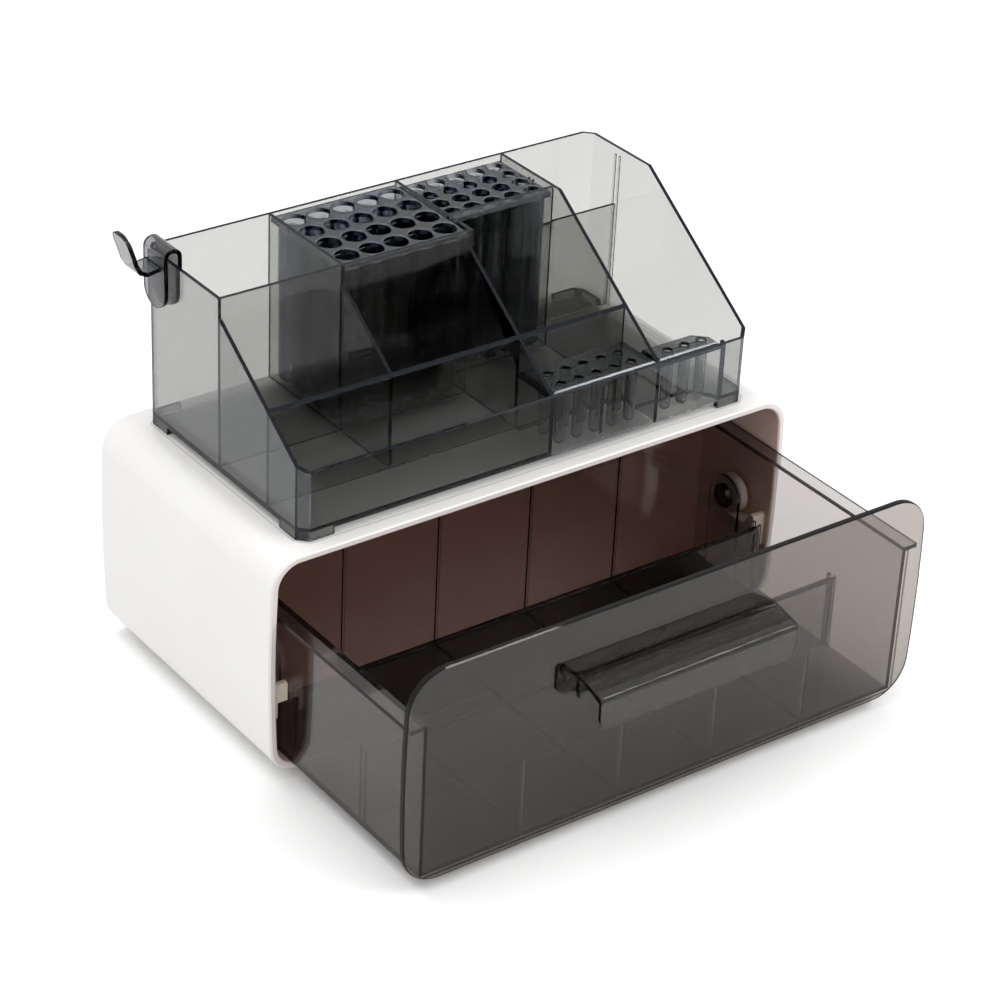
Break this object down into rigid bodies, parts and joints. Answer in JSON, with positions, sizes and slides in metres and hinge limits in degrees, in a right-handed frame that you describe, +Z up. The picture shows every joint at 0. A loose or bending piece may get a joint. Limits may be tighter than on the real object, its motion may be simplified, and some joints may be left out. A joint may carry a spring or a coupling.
{
  "type": "brush holder with drawer",
  "caption": "Open-fronted housing with a roller drawer, carrying a stepped compartment tray with lift-out tube blocks and a clip-on hook.",
  "frame": {"origin": "centre of the housing's flat underside", "axes": "+X right, +Y back, +Z up; the drawer opens towards -Y"},
  "size_m": [0.3341, 0.3022, 0.254],
  "materials": {
    "white_shell": "satin white moulding",
    "pad_rubber": "matte",
    "cream_rail": "satin",
    "cream_roller": "satin",
    "smoke_drawer": "clear smoked, slightly warm",
    "smoke_handle": "clear smoked",
    "smoke_tray": "clear smoked, slightly blue"
  },
  "bodies": {
    "housing": {"housing_shell": "white_shell", "foot_pad_1": "pad_rubber", "foot_pad_2": "pad_rubber", "foot_pad_3": "pad_rubber", "foot_pad_4": "pad_rubber", "drawer_rail_left": "cream_rail", "drawer_rail_right": "cream_rail"},
    "drawer": {"drawer_box": "smoke_drawer", "drawer_front": "smoke_drawer", "handle_grip": "smoke_handle", "handle_bracket": "smoke_handle", "roller_axle_left": "smoke_handle", "roller_axle_right": "smoke_handle"},
    "roller_left_body": {"roller_left": "cream_roller"},
    "roller_right_body": {"roller_right": "cream_roller"},
    "divider_front_body": {"drawer_divider_front": "smoke_drawer"},
    "divider_rear_body": {"drawer_divider_rear": "smoke_drawer"},
    "tray": {"organizer_tray": "smoke_tray"},
    "block_large": {"brush_block_large": "smoke_tray", "brush_base_large": "smoke_tray"},
    "block_small": {"brush_block_small": "smoke_tray", "brush_base_small": "smoke_tray"},
    "liner_centre": {"liner_block_centre": "smoke_tray"},
    "liner_right": {"liner_block_right": "smoke_tray"},
    "divider_tray_body": {"tray_divider": "smoke_tray"},
    "hook": {"accessory_hook": "smoke_handle"}
  },
  "joints": [
    {"name": "drawer_slide", "type": "slide", "parent": "housing", "child": "drawer", "axis": [0, -1, 0], "range_m": [-0.1117, 0.0078]},
    {"name": "roller_left_spin", "type": "hinge", "parent": "drawer", "child": "roller_left_body", "pos_m": [-0.1556, -0.058, 0.05615], "axis": [1, 0, 0], "continuous": true},
    {"name": "roller_right_spin", "type": "hinge", "parent": "drawer", "child": "roller_right_body", "pos_m": [0.1556, -0.058, 0.05615], "axis": [1, 0, 0], "continuous": true},
    {"name": "divider_front_lift", "type": "slide", "parent": "drawer", "child": "divider_front_body", "axis": [0, 0, 1], "range_m": [0, 0.044]},
    {"name": "divider_rear_lift", "type": "slide", "parent": "drawer", "child": "divider_rear_body", "axis": [0, 0, 1], "range_m": [0, 0.044]},
    {"name": "tray_lift", "type": "slide", "parent": "housing", "child": "tray", "axis": [0, 0, 1], "range_m": [0, 0.06]},
    {"name": "block_large_lift", "type": "slide", "parent": "tray", "child": "block_large", "axis": [0, 0, 1], "range_m": [0, 0.1]},
    {"name": "block_small_lift", "type": "slide", "parent": "tray", "child": "block_small", "axis": [0, 0, 1], "range_m": [0, 0.1]},
    {"name": "liner_centre_lift", "type": "slide", "parent": "tray", "child": "liner_centre", "axis": [0, 0, 1], "range_m": [0, 0.04]},
    {"name": "liner_right_lift", "type": "slide", "parent": "tray", "child": "liner_right", "axis": [0, 0, 1], "range_m": [0, 0.04]},
    {"name": "tray_divider_lift", "type": "slide", "parent": "tray", "child": "divider_tray_body", "axis": [0, 0, 1], "range_m": [0, 0.095]},
    {"name": "hook_lift", "type": "slide", "parent": "tray", "child": "hook", "axis": [0, 0, 1], "range_m": [0, 0.03]}
  ],
  "couplings": [
    {"joint": "roller_left_spin", "follows": "drawer_slide", "rad_per_m": 88.496},
    {"joint": "roller_right_spin", "follows": "drawer_slide", "rad_per_m": 88.496}
  ]
}
